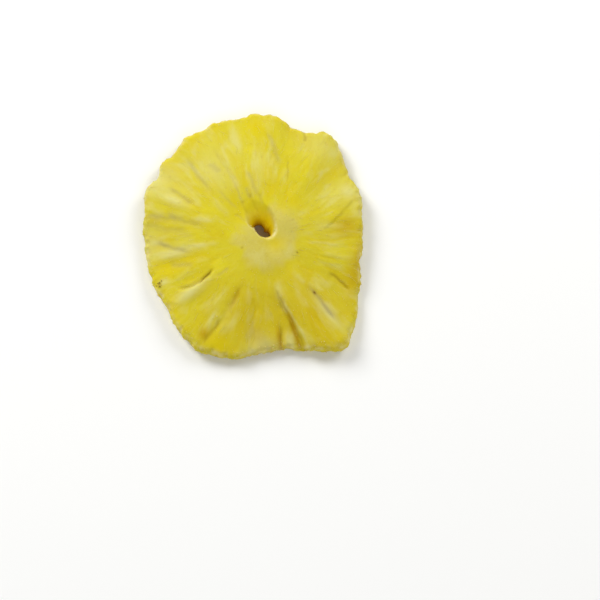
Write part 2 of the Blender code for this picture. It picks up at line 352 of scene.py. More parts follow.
@dataclass(frozen=True)
class RingForm:
    """The form of the ring: where each point of the turned blank goes."""

    # Bearing and reach of points on the rim.
    rim: tuple = (
        (12, 30.9), (28, 33.6), (38, 34.3), (50, 37.8), (60, 41.5), (68, 39.6), (75, 39.4),
        (84, 41.8), (94, 43.3), (101, 42.6), (110, 43.3), (117, 42.1), (126, 43.0), (133, 40.8),
        (140, 41.6), (146, 39.4), (155, 40.5), (165, 37.7), (180, 36.3), (203, 35.1), (217, 35.3),
        (239, 37.6), (252, 36.1), (264, 33.9), (280, 32.1), (291, 34.3), (307, 39.6), (317, 37.3),
        (335, 31.9), (355, 29.6),
    )
    # Ripples of the cut edge: the waves in one turn, their depth and their phase.
    rim_ripples: tuple = (
        (13, 0.20, 0.4), (21, 0.16, 2.1), (37, 0.11, 4.0), (58, 0.10, 1.0), (89, 0.07, 2.6),
    )

    core_thickness: float = 8.6
    rim_thickness: float = 4.8
    # How far out the slice starts to thin, from 0 at the hole to 1 at the rim.
    thinning_from: float = 0.2
    # The dome of the slice's middle surface: its height at the crest, how far it has sunk at
    # a distance from there, and where the crest lies.
    middle_height: float = 5.1
    droop: float = 2.7
    droop_reach: float = 36.0
    crest_x: float = -3.5
    crest_y: float = 5.0
    # The warp of the rim: the waves in one turn, their rise and their phase.
    rim_waves: tuple = ((5, 0.55, 0.7), (8, 0.35, -2.97))
    # How much a lobe of the rim rises for each mm that it stands out past its neighbours, and
    # how far round those are.
    lobe_lift: float = 0.35
    lobe_spread: float = 17.0
    # The underside has this share of the top's relief, at other bearings.
    underside_relief: float = 0.6
    underside_turn: float = 155.0

    # The upright throat of the hole: its middle, its half widths, and how square it is, where
    # 2 is an ellipse.
    throat_x: float = -0.4
    throat_y: float = 4.4
    throat_half_x: float = 2.9
    throat_half_y: float = 2.9
    throat_power: float = 2.8
    # The mouth at the top, slid to the far side and turned, the level where the throat starts
    # to widen to it, and how sharply it widens near the top.
    mouth_x: float = -0.8
    mouth_y: float = 6.6
    mouth_half_x: float = 3.9
    mouth_half_y: float = 6.2
    mouth_turn: float = 26.0
    mouth_flare_from: float = -0.5
    mouth_flare_power: float = 2.8
    # How far the throat widens again at its foot.
    foot_flare: float = 0.5
    # The thin lip on the near side, which stands a little over the throat, and the swollen
    # foot of the wall opposite it.
    lip_bearing: float = 243.0
    lip_spread: float = 44.0
    lip_reach: float = 1.5
    foot_bearing: float = 42.0
    foot_spread: float = 50.0
    foot_reach: float = 2.7
    # How full both stand, and how ragged: the grain, as a share of the hole's radius, the
    # depth, as a share of the reach, and an offset that tells the patterns apart.
    lip_full: float = 0.9
    lip_grains: tuple = ((0.3, 0.22, 47.0), (0.11, 0.16, 53.0))

    # The raised core: its middle, its radius, how wide its edge is to each side, and its rise.
    core_x: float = 1.4
    core_y: float = 0.3
    core_radius: float = 9.0
    core_edge: float = 2.8
    core_rise: float = 0.45

    # The bearing, sweep, start, end, width, depth, bed, shade, mark, bow, step and wander of
    # each crease.
    furrows: tuple = (
        # The long crease that parts two lobes at the front, whose brown bed is partly painted
        # shade, the pale crest along its right side, a painted highlight on that lit edge, and the
        # short crease beside it.
        Furrow(283.8, 6.5, 14.0, 42.0, 0.65, 0.95, Bed.BROWN, 0.3, 0.3, 3.6, 1.3, 0.3),
        Furrow(285.9, 6.5, 16.0, 42.0, 0.4, -0.15, Bed.PALE_AND_HIGHLIGHT, 0.45, 0.35, 3.6, 0.0, 0.3),
        Furrow(281.4, -3.5, 24.5, 40.0, 0.8, 0.6, Bed.BROWN, 0.25, 0.5, 0.0, -0.5, 0.5),
        # The open crack on the left, deepest at its inner end.
        Furrow(208.6, -1.5, 16.0, 30.5, 0.6, 0.8, Bed.BROWN, 0.35, 0.3, 4.6, 0.7, 0.2),
        Furrow(208.4, 6.0, 17.0, 23.5, 0.35, 0.3, Bed.BROWN, 0.5, 0.18, 0.0, 0.0, 0.2),
        # The long hollow and the slit on the right.
        Furrow(316.0, -4.2, 18.0, 33.0, 1.2, 0.2, Bed.GREY_AND_SHADE, 0.45, 0.6, 0.0, 0.35, 0.3),
        Furrow(335.6, -4.0, 21.0, 30.0, 1.0, 0.3, Bed.BROWN, 0.4, 0.5, 0.8, 0.22, 0.4),
        # The fold across the drooping right side.
        Furrow(12.0, 17.0, 18.0, 33.0, 1.8, 0.05, Bed.BROWN, 0.05, 0.5, 2.0, 0.28, 0.2),
        # Furrows of the far side, from right to left.
        Furrow(69.0, 3.0, 35.0, 39.5, 0.5, 0.3, Bed.BROWN, 0.3),
        Furrow(69.6, 5.5, 19.8, 28.5, 0.4, 0.1, Bed.BROWN, 0.2, 0.3, 0.0, 0.0, 0.4),
        Furrow(78.6, 10.3, 24.5, 36.5, 1.4, 0.22, Bed.GREY_AND_SHADE, 0.35, 0.8, 0.0, -0.12, 0.4),
        Furrow(96.3, 7.0, 13.5, 24.0, 0.9, 0.18, Bed.GREY_AND_SHADE, 0.3, 0.6, 0.0, 0.0, 0.4),
        Furrow(117.6, -2.8, 14.0, 21.5, 0.4, 0.1, Bed.GREY_AND_SHADE, 0.25, 0.4, 0.0, 0.0, 0.3),
        Furrow(115.0, 2.0, 18.0, 35.0, 1.4, 0.2, Bed.GREY_AND_SHADE, 0.15, 0.6, 0.0, 0.0, 0.3),
        Furrow(135.0, -4.6, 22.0, 37.5, 1.5, 0.16, Bed.GREY_AND_SHADE, 0.35, 0.8, 0.0, -0.12, 0.3),
        # Short creases that run down into the hole's wide mouth.
        Furrow(104.0, 2.0, 10.5, 16.0, 0.6, 0.22, Bed.BROWN, 0.12, 0.5, 0.0, 0.0, 0.4),
        Furrow(118.5, -2.0, 9.5, 15.0, 0.7, 0.26, Bed.BROWN, 0.12, 0.5, 0.0, 0.0, 0.4),
        Furrow(131.0, 3.0, 7.5, 12.5, 0.6, 0.24, Bed.GREY_AND_SHADE, 0.2, 0.5, 0.0, 0.0, 0.4),
        Furrow(92.0, 2.0, 11.5, 15.5, 0.5, 0.25, Bed.GREY_AND_SHADE, 0.2, 0.5, 0.0, 0.0, 0.4),
        # Furrows of the left side, and of the front left.
        Furrow(150.6, -3.0, 23.5, 35.0, 1.4, 0.14, Bed.GREY_AND_SHADE, 0.4, 0.8, 0.0, -0.2, 0.4),
        Furrow(165.1, 2.5, 16.5, 41.0, 1.6, 0.18, Bed.GREY_AND_SHADE, 0.3, 1.1, -2.2, -0.1, 0.6),
        Furrow(172.5, -3.0, 21.0, 39.0, 1.4, 0.12, Bed.GREY_AND_SHADE, 0.25, 1.0, 0.0, 0.0, 0.6),
        Furrow(187.6, -9.9, 21.5, 33.5, 1.4, 0.14, Bed.GREY_AND_SHADE, 0.45, 0.8, 0.0, -0.2, 0.3),
        Furrow(244.8, -3.8, 14.0, 37.5, 1.2, 0.35),
        Furrow(244.6, 0.0, 15.5, 24.0, 0.6, 0.14, Bed.BROWN, 0.18, 0.6, 0.0, 0.2, 0.4),
        Furrow(242.0, -2.5, 26.0, 36.0, 0.7, 0.3, Bed.BROWN, 0.35, 0.5, 0.0, 0.25, 0.4),
        Furrow(263.0, 2.0, 17.0, 33.0, 1.3, 0.35),
    )
    strokes: Strokes = Strokes()
    # The bearing, reach, length, width and height of each swelling or hollow.
    mounds: tuple = (
        # Lobes that stand over the creases at the front.
        Mound(297.5, 27.5, 9.0, 3.2, 0.7),
        Mound(284.9, 30.0, 4.0, 1.6, 0.6),
        Mound(272.0, 30.5, 3.6, 3.8, 0.6),
        # The bank below the crack, whose pale tone is partly a painted highlight, and the pale
        # pads of the left side.
        Mound(215.5, 26.5, 6.0, 2.2, 0.7),
        Mound(154.5, 29.5, 4.2, 1.9, 0.5),
        Mound(186.8, 27.5, 4.5, 1.7, 0.5),
        # The ridge right of the hole, and the shallow dips beside the hole.
        Mound(46.0, 9.4, 3.2, 3.6, 0.6),
        Mound(345.0, 3.4, 2.6, 2.6, -0.5),
        Mound(114.0, 11.0, 5.5, 5.0, -1.2),
    )

    def rim_reach(self, bearing: np.ndarray) -> np.ndarray:
        """Read the rim's reach at each bearing from a smooth closed curve through its points.

        Args:
            bearing: The bearings, in degrees.

        Returns:
            The reach of the rim at each, in mm.
        """
        spots = np.array([point[0] for point in self.rim], dtype=float)
        reaches = np.array([point[1] for point in self.rim])
        bearing = np.mod(bearing, 360.0)
        first = np.searchsorted(spots, bearing, side="right") - 1
        second = first + 1
        count = len(self.rim)

        def spot(index: np.ndarray) -> np.ndarray:
            """Give a point's bearing, where an index past either end goes on round."""
            return spots[index % count] + 360.0 * (index // count)

        def slope(index: np.ndarray) -> np.ndarray:
            """Give the curve's slope at a point, from its two neighbours."""
            rise = reaches[(index + 1) % count] - reaches[(index - 1) % count]
            return rise / (spot(index + 1) - spot(index - 1))

        span = spot(second) - spot(first)
        part = (bearing - spot(first)) / span
        pulls = part * (1.0 - part) ** 2 * span * slope(first)
        pulls = pulls + part ** 2 * (part - 1.0) * span * slope(second)
        eased = part * part * (3.0 - 2.0 * part)
        return blend(reaches[first % count], reaches[second % count], eased) + pulls

    def uneven_rim_reach(self, bearing: np.ndarray) -> np.ndarray:
        """Read the rim's reach with the small unevenness of the cut edge.

        Args:
            bearing: The bearings, in degrees.

        Returns:
            The reach of the rim at each, in mm.
        """
        reach = self.rim_reach(bearing)
        for waves, depth, phase in self.rim_ripples:
            reach = reach + depth * np.sin(np.radians(bearing) * waves + phase)
        return reach

    def lip(self, grid: Grid) -> np.ndarray:
        """Work out the ragged near lip and the far foot.

        Args:
            grid: The blank's points.

        Returns:
            How far they stand into the hole at each point, in mm.
        """
        angle = np.radians(grid.bearing)
        around = np.stack((np.cos(angle), np.sin(angle), 0.2 * grid.level), axis=1)
        ragged = self.lip_full
        for grain, depth, offset in self.lip_grains:
            ragged = ragged + depth * wavering(around / grain, offset)
        near = bell(turn_from(grid.bearing, self.lip_bearing), self.lip_spread)
        near = self.lip_reach * near * smooth(-0.2, 0.8, grid.level)
        far = bell(turn_from(grid.bearing, self.foot_bearing), self.foot_spread)
        far = self.foot_reach * far * smooth(0.7, -0.5, grid.level)
        return ragged * (near + far)

    def hole_edge(self, grid: Grid) -> tuple[np.ndarray, np.ndarray]:
        """Place the hole's wall.

        Args:
            grid: The blank's points.

        Returns:
            The plan places, x and y, of the wall at each point's bearing and level.
        """
        opening = (grid.level - self.mouth_flare_from) / (1.0 - self.mouth_flare_from)
        opening = np.clip(opening, 0.0, 1.0) ** self.mouth_flare_power
        flare = self.foot_flare * smooth(0.4, 1.0, -grid.level)
        half_x = blend(self.throat_half_x, self.mouth_half_x, opening) + flare
        half_y = blend(self.throat_half_y, self.mouth_half_y, opening) + flare
        turned = np.radians(grid.bearing - self.mouth_turn * opening)
        power = blend(self.throat_power, 2.0, opening)
        size = np.abs(np.cos(turned) / half_x) ** power + np.abs(np.sin(turned) / half_y) ** power
        radius = size ** (-1.0 / power) - self.lip(grid)
        angle = np.radians(grid.bearing)
        x = blend(self.throat_x, self.mouth_x, opening) + radius * np.cos(angle)
        y = blend(self.throat_y, self.mouth_y, opening) + radius * np.sin(angle)
        return x, y

    def flesh_relief(self, bearing: np.ndarray, reach: np.ndarray) -> np.ndarray:
        """Add up all creases, strokes and swellings.

        Args:
            bearing: The bearing of each point.
            reach: The reach of each point.

        Returns:
            The height that they add at each, in mm.
        """
        height = np.zeros_like(reach)
        for feature in self.furrows + self.strokes.furrows() + self.mounds:
            height = height + feature.relief(bearing, reach)
        return height

    def core_lift(self, x: np.ndarray, y: np.ndarray) -> np.ndarray:
        """Work out the raised core.

        Args:
            x: The plan places of the points.
            y: The same, the other way.

        Returns:
            How much it lifts each point, in mm.
        """
        distance = np.hypot(x - self.core_x, y - self.core_y)
        inner = self.core_radius - self.core_edge
        outer = self.core_radius + self.core_edge
        return self.core_rise * (1.0 - smooth(inner, outer, distance))

    def middle(self, x: np.ndarray, y: np.ndarray, outward: np.ndarray) -> np.ndarray:
        """Work out the slice's middle surface: a dome with a warped rim.

        Args:
            x: The plan places of the points.
            y: The same, the other way.
            outward: How far out each lies, from 0 at the hole to 1 at the rim.

        Returns:
            The height of the surface at each point, in mm.
        """
        bearing = np.arctan2(y, x)
        droop = ((x - self.crest_x) ** 2 + (y - self.crest_y) ** 2) / self.droop_reach ** 2
        height = self.middle_height - self.droop * droop
        for waves, rise, phase in self.rim_waves:
            height = height + rise * np.sin(bearing * waves + phase) * outward ** 2
        return height

    def shaped(self, grid: Grid) -> np.ndarray:
        """Put points of the blank where the ring has them.

        Args:
            grid: The blank's points.

        Returns:
            An array of x, y and z, in mm about the core.
        """
        hole_x, hole_y = self.hole_edge(grid)
        edge = self.uneven_rim_reach(grid.bearing)
        outward = grid.outward
        x = blend(hole_x, edge * np.cos(np.radians(grid.bearing)), outward)
        y = blend(hole_y, edge * np.sin(np.radians(grid.bearing)), outward)

        place = np.degrees(np.arctan2(y, x))
        reach = np.hypot(x, y)
        thinning = smooth(self.thinning_from, 1.0, outward)
        half = 0.5 * blend(self.core_thickness, self.rim_thickness, thinning)
        middle = self.middle(x, y, outward)
        around = self.rim_reach(place + self.lobe_spread) + self.rim_reach(place - self.lobe_spread)
        lobe = self.lobe_lift * (self.rim_reach(place) - 0.5 * around) * outward ** 2
        top = middle + half + lobe + self.core_lift(x, y) + self.flesh_relief(place, reach)
        hollow = self.underside_relief * self.flesh_relief(self.underside_turn - place, reach)
        under = np.maximum(middle - half - hollow, 0.0)
        z = blend(under, top, 0.5 * (grid.level + 1.0))
        return np.stack((x, y, z), axis=1)


@dataclass(frozen=True)
class Unevenness:
    """One size of unevenness: how wide, long and high its features are, in mm."""

    width: float
    length: float
    height: float
    offset: float


@dataclass(frozen=True)
class FleshPattern:
    """The fine relief and the tones of the flesh, which both follow the fibres."""

    # Swollen bundles, the pulp segments on them, and fibres, all drawn out along the fibres.
    swell: Unevenness = Unevenness(6.0, 15.0, 0.22, 3.0)
    segment: Unevenness = Unevenness(3.4, 12.0, 0.07, 5.0)
    fibre: Unevenness = Unevenness(1.3, 8.0, 0.04, 11.0)
    # Lumps and pores, as wide as they are long.
    lump: Unevenness = Unevenness(2.4, 2.4, 0.045, 17.0)
    pore: Unevenness = Unevenness(0.8, 0.8, 0.02, 23.0)
    crumble: Unevenness = Unevenness(1.3, 1.3, 0.3, 29.0)
    rim_ridge: Unevenness = Unevenness(1.6, 5.0, 0.35, 37.0)
    # How far the fibres sway, over what length, and the reach at which their widths hold.
    sway_degrees: float = 3.5
    sway_length: float = 9.0
    fibre_reach: float = 28.0
    # Inside the core the flesh has no fibres that fan out, and near it they are coarser, so
    # that they stay as wide as they are further out.
    fibres_from: float = 9.0
    fibres_full: float = 17.0
    fine_from: float = 13.0
    fine_full: float = 25.0
    coarser: float = 2.0
    # How much the bundles and the segments count in what is a ridge, and how much of the pale
    # tone wet flesh hides.
    ridge_swell: float = 0.6
    ridge_segment: float = 0.5
    wet_hides_pale: float = 0.7

    # Bearing, reach, length along the fibres, width and weight of each patch of tone.
    patches: tuple = (
        # Pale: the lens pads of the left side, the rim, the bank by the crack, where the pale tone
        # is also a painted highlight, and broad places on the rim of the left side, the upper right
        # and the far side.
        (Tint.PALE_AND_HIGHLIGHT, (
            (153.6, 30.5, 4.6, 1.5, 0.9), (186.6, 28.0, 4.8, 1.3, 0.95),
            (150.5, 39.0, 3.5, 4.5, 0.6), (215.0, 27.0, 5.4, 1.6, 0.9),
            (131.8, 32.0, 5.5, 0.7, 0.5), (104.5, 34.5, 4.5, 1.4, 0.6),
            (271.0, 31.2, 2.4, 4.2, 0.6), (33.0, 31.0, 2.0, 2.6, 0.6),
            (311.8, 29.5, 6.2, 1.2, 0.75), (201.0, 32.0, 1.4, 1.0, 0.8),
            (284.8, 30.5, 2.4, 1.2, 0.8), (93.0, 25.0, 6.0, 2.2, 0.35),
            (125.0, 27.0, 6.0, 2.4, 0.35), (236.5, 27.6, 2.6, 0.7, 0.7),
            (180.0, 35.0, 4.0, 4.5, 0.45), (143.0, 36.0, 5.0, 5.0, 0.3),
            (60.0, 36.0, 5.0, 8.0, 0.35), (36.0, 28.0, 6.0, 4.0, 0.3),
            (118.0, 30.0, 8.0, 5.0, 0.25), (265.0, 34.0, 2.2, 3.0, 0.35),
        )),
        # Golden, where the flesh is thinner and wetter.
        (Tint.GOLD, (
            (128.0, 11.5, 4.5, 4.5, 0.3), (195.5, 27.5, 7.0, 2.4, 1.0), (55.8, 16.0, 2.4, 2.4, 0.7),
            (217.0, 33.5, 2.2, 3.2, 0.8), (247.0, 33.5, 3.0, 3.0, 0.8), (93.0, 36.5, 4.0, 4.0, 0.5),
            (47.9, 32.6, 2.5, 2.0, 0.5), (121.0, 40.5, 2.0, 4.0, 0.6), (94.0, 39.5, 3.5, 3.0, 0.6),
            (351.0, 3.4, 3.2, 2.4, 0.7), (284.5, 20.0, 6.0, 1.6, 0.5),
            (112.0, 12.5, 3.0, 5.5, 0.45),
        )),
        # Deeper gold: partly the flesh's own tone where it thins out, mostly painted shade
        # over the drooping lower half, below the fold, beside the creases and hollows of the front
        # and the left, and along the right rim.
        (Tint.DEEP_GOLD_AND_SHADE, (
            (13.0, 25.5, 4.5, 3.2, 0.6), (347.0, 29.0, 2.5, 9.0, 0.6), (289.3, 29.0, 6.0, 0.7, 0.9),
            (279.6, 31.0, 4.5, 0.8, 0.8), (237.3, 32.8, 2.0, 1.5, 0.8),
            (262.0, 24.0, 12.0, 9.0, 0.3), (305.0, 25.0, 13.0, 11.0, 0.3),
            (244.2, 19.0, 3.5, 0.8, 0.5), (167.0, 34.0, 3.0, 1.2, 0.3),
            (268.5, 32.0, 2.0, 1.0, 0.6),
        )),
        # Dull, thin lenses by the long hollow and at the front.
        (Tint.GREY_AND_SHADE, (
            (313.5, 28.5, 4.5, 0.9, 0.3), (267.0, 28.0, 2.0, 2.5, 0.3),
        )),
        # Dark specks beside the hole, and what is left of an eye near the rim.
        (Tint.BROWN, (
            (100.9, 10.9, 0.4, 0.35, 0.6), (198.8, 6.7, 0.4, 0.3, 0.4),
            (341.0, 10.8, 0.4, 0.3, 0.4), (314.7, 21.8, 0.6, 0.4, 0.8),
            (201.3, 33.6, 0.6, 0.5, 0.75),
        )),
    )

    def fibre_space(self, points: np.ndarray, run: np.ndarray) -> np.ndarray:
        """Unroll each point along the fibres.

        Args:
            points: The ring's points, in mm about the core.
            run: How far each lies along its fibre, in mm, on round the rim and the hole.

        Returns:
            The cosine and sine of the fibre's own bearing, and the run.
        """
        swaying = wavering(points / self.sway_length, 31.0)
        bearing = np.arctan2(points[:, 1], points[:, 0])
        bearing = bearing + math.radians(self.sway_degrees) * swaying
        return np.stack((np.cos(bearing), np.sin(bearing), run), axis=1)

    def along(self, fibre: np.ndarray, kind: Unevenness) -> np.ndarray:
        """Sample one kind of unevenness that is drawn out along the fibres.

        Args:
            fibre: The points in fibre space.
            kind: The unevenness.

        Returns:
            Its noise at each point, from about -1 to 1.
        """
        across = self.fibre_reach / kind.width
        wide = across / self.coarser
        fine = wavering(fibre * np.array((across, across, 1.0 / kind.length)), kind.offset)
        coarse = wavering(fibre * np.array((wide, wide, 1.0 / kind.length)), -kind.offset)
        return blend(coarse, fine, smooth(self.fine_from, self.fine_full, fibre[:, 2]))

    def relief(self, points: np.ndarray, fibre: np.ndarray,
               edge: np.ndarray) -> tuple[np.ndarray, np.ndarray]:
        """Work out the fine relief of the flesh.

        Args:
            points: The ring's points, in mm about the core.
            fibre: The same points in fibre space.
            edge: How near each point is to the crumbly edge of the rim, from 0 to 1.

        Returns:
            The height to add along each normal, in mm, and how far each point is a ridge.
        """
        fanned = smooth(self.fibres_from, self.fibres_full, fibre[:, 2])
        swell = self.along(fibre, self.swell) * fanned
        segment = (2.0 * np.abs(self.along(fibre, self.segment)) - 0.5) * fanned
        fibres = self.along(fibre, self.fibre) * fanned
        height = self.swell.height * swell + self.segment.height * segment
        height = height + self.fibre.height * fibres
        for kind, share in ((self.lump, 1.0), (self.pore, 1.0), (self.crumble, edge)):
            height = height + kind.height * wavering(points / kind.width, kind.offset) * share
        height = height + self.rim_ridge.height * self.along(fibre, self.rim_ridge) * edge
        ridge = 0.5 + self.ridge_swell * swell + self.ridge_segment * segment
        return height, np.clip(ridge, 0.0, 1.0)

    def tones(self, form: RingForm, bearing: np.ndarray, reach: np.ndarray) -> dict:
        """Weigh each tone that the named places of the flesh have.

        Args:
            form: The ring, whose creases have beds of their own.
            bearing: The bearing of each point about the core.
            reach: The reach of each point.

        Returns:
            The weight of each point for each tint.
        """
        weights = {tint: np.zeros_like(reach) for tint in Tint}
        for tint, patches in self.patches:
            for patch in patches:
                weights[tint] = weights[tint] + Mound(*patch).relief(bearing, reach)
        # Grey and brown crease beds darken the creases, partly as painted shade.
        for furrow in form.furrows + form.strokes.furrows():
            if furrow.bed is not Bed.PLAIN:
                tint = Tint[furrow.bed.name]
                weights[tint] = weights[tint] + furrow.tone(bearing, reach)
        # Wet golden flesh shows fewer pale fibres.
        dry = np.clip(1.0 - self.wet_hides_pale * weights[Tint.GOLD], 0.0, 1.0)
        weights[Tint.PALE_AND_HIGHLIGHT] = weights[Tint.PALE_AND_HIGHLIGHT] * dry
        return weights


class Graph:
    """The nodes of one material, laid out from left to right."""

    def __init__(self, name: str) -> None:
        """Start an empty material.

        Args:
            name: The material's name.
        """
        self.material = bpy.data.materials.new(name)
        self.material.use_nodes = True
        self.tree = self.material.node_tree
        self.tree.nodes.clear()

    def add(self, kind: str, inputs: dict | None = None, **settings: object) -> bpy.types.Node:
        """Add a node with its settings and links.

        Args:
            kind: The node's type, such as "ShaderNodeTexNoise".
            inputs: What each input socket gets, by name or number: a value, another
                node's output socket to link, or None to leave it.
            settings: The node's own properties.

        Returns:
            The node.
        """
        node = self.tree.nodes.new(kind)
        node.location = (220.0 * len(self.tree.nodes), 0.0)
        for setting, value in settings.items():
            setattr(node, setting, value)
        for socket, value in (inputs or {}).items():
            if isinstance(value, bpy.types.NodeSocket):
                self.tree.links.new(value, node.inputs[socket])
            elif value is not None:
                node.inputs[socket].default_value = value
        return node


@dataclass(frozen=True)
class FleshFinish:
    """Sugar-infused pineapple flesh: moist, a little translucent, with pale fibres.

    Light goes a few millimetres in and comes out yellow, so hollows glow gold and never go
    black; the surface has a soft, broken shine.
    """

    name: str = "dried_pineapple_flesh"
    # The tones of the flesh, of the hole's wall and of the dry cut edges; some also stand for
    # painted shade or painted light.
    lemon: str = "#d2c42a"
    bright: str = "#d9cb1e"
    gold: str = "#d2bb06"
    golden: str = "#d8c408"
    # Deeper gold, mostly painted shade on the drooping side, in hollows and beside creases.
    deep_gold_and_shade: str = "#be9a06"
    cream: str = "#d8d182"
    # Grey and brown: grey lenses, dark specks and an eye, and crease beds darkened partly as
    # painted shade.
    grey_and_shade: str = "#ab9c68"
    brown_and_shade: str = "#7d5208"
    core: str = "#cbbd62"
    throat: str = "#dabf04"
    # The foot of the hole's wall: partly its own browner tone, partly painted shade.
    throat_floor_brown_and_shade: str = "#b8700e"
    shadow: str = "#b09206"
    # The dry, pale cut edge, also painted light on the rim's upper wall and a painted highlight on
    # the hole's near lip.
    edge: str = "#e6da98"
    core_weight: float = 0.7
    roughness_low: float = 0.48
    roughness_high: float = 0.68
    ior: float = 1.38
    specular: float = 0.15
    subsurface: float = 0.2
    subsurface_colours: tuple = (1.0, 0.75, 0.18)
    subsurface_reach_mm: float = 1.4
    # Width and length of each pattern along the fibres, in mm.
    mottle_mm: tuple = (6.0, 14.0)
    streak_mm: tuple = (2.6, 7.0)
    thread_mm: tuple = (1.0, 5.0)
    # Clouds of tone, the grain of the dried surface, and the sugar grit.
    cloud_mm: float = 7.0
    blotch_mm: float = 2.6
    grain_mm: float = 0.8
    grit_mm: float = 0.45
    thread_relief_mm: float = 0.16
    grain_relief_mm: float = 0.16
    grit_relief_mm: float = 0.06
    fibre_reach_mm: float = 28.0
    # The fibres' pattern fades out inside the core, and is coarser near it.
    fibres_from_mm: float = 9.0
    fibres_full_mm: float = 16.0
    fine_from_mm: float = 13.0
    fine_full_mm: float = 25.0
    coarser: float = 2.0

    def material(self) -> bpy.types.Material:
        """Build the material.

        Returns:
            The flesh material, which reads the ring's fibre space and tints.
        """
        graph = Graph(self.name)
        fibre = graph.add("ShaderNodeAttribute", attribute_name="fibre").outputs["Vector"]
        place = graph.add("ShaderNodeTexCoord").outputs["Object"]

        def drawn_out(width: float, length: float, shift: float) -> bpy.types.NodeSocket:
            """Add noise that is drawn out along the fibres.

            Args:
                width: How wide its features are, in mm.
                length: How long they are, in mm.
                shift: Moves the pattern.

            Returns:
                The noise, from 0 to 1.
            """
            across = self.fibre_reach_mm / width
            scaled = graph.add(
                "ShaderNodeMapping",
                {"Vector": fibre, "Location": (shift, shift, shift),
                 "Scale": (across, across, 1.0 / length)},
            )
            return graph.add(
                "ShaderNodeTexNoise",
                {"Vector": scaled.outputs["Vector"], "Scale": 1.0, "Detail": 2.0,
                 "Roughness": 0.5},
            ).outputs["Fac"]

        def along(size: tuple, shift: float) -> bpy.types.NodeSocket:
            """Add noise along the fibres that is coarser near the core.

            Args:
                size: The width and length of its features, in mm.
                shift: Moves the pattern.

            Returns:
                The noise, from 0 to 1.
            """
            width, length = size
            return graph.add(
                "ShaderNodeMix",
                {"Factor": fine, 2: drawn_out(width * self.coarser, length, -shift),
                 3: drawn_out(width, length, shift)},
            ).outputs[0]

        def even(size: float, detail: float) -> bpy.types.NodeSocket:
            """Add noise that is as wide as it is long.

            Args:
                size: How wide its features are, in mm.
                detail: How much finer detail they have.

            Returns:
                The noise, from 0 to 1.
            """
            return graph.add(
                "ShaderNodeTexNoise",
                {"Vector": place, "Scale": 1.0 / (size * METRES_PER_MM), "Detail": detail,
                 "Roughness": 0.5},
            ).outputs["Fac"]

        def span(value: bpy.types.NodeSocket, low: float, high: float,
                 top: float = 1.0) -> bpy.types.NodeSocket:
            """Stretch a pattern smoothly.

            Args:
                value: The pattern.
                low: The value that becomes 0.
                high: The value that becomes top.
                top: The highest weight.

            Returns:
                The weight.
            """
            return graph.add(
                "ShaderNodeMapRange",
                {"Value": value, "From Min": low, "From Max": high, "To Min": 0.0,
                 "To Max": top},
                interpolation_type="SMOOTHSTEP",
            ).outputs["Result"]

        def weight(tint: Tint) -> bpy.types.NodeSocket:
            """Read one of the ring's tints."""
            return graph.add("ShaderNodeAttribute", attribute_name=tint.value).outputs["Fac"]

        def times(first: bpy.types.NodeSocket, second: object) -> bpy.types.NodeSocket:
            """Multiply a weight by another weight or by a number.

            Args:
                first: The weight.
                second: The other weight, or the number.

            Returns:
                The product, from 0 to 1.
            """
            return graph.add(
                "ShaderNodeMath", {0: first, 1: second}, operation="MULTIPLY", use_clamp=True,
            ).outputs["Value"]

        def tinted(colour: object, other: str, part: bpy.types.NodeSocket) -> bpy.types.NodeSocket:
            """Mix a colour towards another.

            Args:
                colour: The colour so far.
                other: The other colour, as "#rrggbb".
                part: How far to go towards it.

            Returns:
                The mixed colour.
            """
            return graph.add(
                "ShaderNodeMix", {"Factor": part, 6: colour, 7: linear(other)}, data_type="RGBA",
            ).outputs[2]

        run = graph.add("ShaderNodeSeparateXYZ", {"Vector": fibre}).outputs["Z"]
        fanned = span(run, self.fibres_from_mm, self.fibres_full_mm)
        fine = span(run, self.fine_from_mm, self.fine_full_mm)
        mottle = along(self.mottle_mm, 3.0)
        streak = along(self.streak_mm, 7.0)
        thread = along(self.thread_mm, 13.0)
        cloud = even(self.cloud_mm, 2.0)
        blotch = even(self.blotch_mm, 3.0)
        grain = even(self.grain_mm, 4.0)
        grit = even(self.grit_mm, 1.0)
        core = weight(Tint.CORE)
        ridge = weight(Tint.RIDGE)

        def layered(colour: object, layers: tuple) -> object:
            """Mix a run of tones in.

            Args:
                colour: The colour so far.
                layers: For each, its colour, its pattern, where that starts and is full, the
                    weight there, and what it is limited to.

            Returns:
                The mixed colour.
            """
            for tone, pattern, low, high, top, where in layers:
                part = span(pattern, low, high, top)
                colour = tinted(colour, tone, times(part, where) if where else part)
            return colour

        colour = layered(linear(self.lemon), (
            (self.gold, mottle, 0.46, 0.7, 0.4, None),
            (self.bright, cloud, 0.5, 0.7, 0.6, None),
            (self.gold, ridge, 0.5, 0.1, 0.4, None),
            (self.gold, blotch, 0.55, 0.75, 0.3, None),
            (self.cream, streak, 0.5, 0.72, 0.35, fanned),
            (self.cream, thread, 0.52, 0.75, 0.12, fanned),
            (self.shadow, thread, 0.45, 0.26, 0.12, fanned),
        ))
        colour = layered(tinted(colour, self.core, times(core, self.core_weight)), (
            (self.cream, cloud, 0.45, 0.65, 0.35, core),
            (self.shadow, blotch, 0.48, 0.3, 0.15, core),
            (self.cream, grain, 0.5, 0.7, 0.12, core),
        ))
        for tone, tint in (
            (self.golden, Tint.GOLD), (self.deep_gold_and_shade, Tint.DEEP_GOLD_AND_SHADE), (self.cream, Tint.PALE_AND_HIGHLIGHT),
            (self.grey_and_shade, Tint.GREY_AND_SHADE), (self.brown_and_shade, Tint.BROWN), (self.throat, Tint.THROAT),
            (self.throat_floor_brown_and_shade, Tint.THROAT_FLOOR_BROWN_AND_SHADE),
        ):
            colour = tinted(colour, tone, weight(tint))
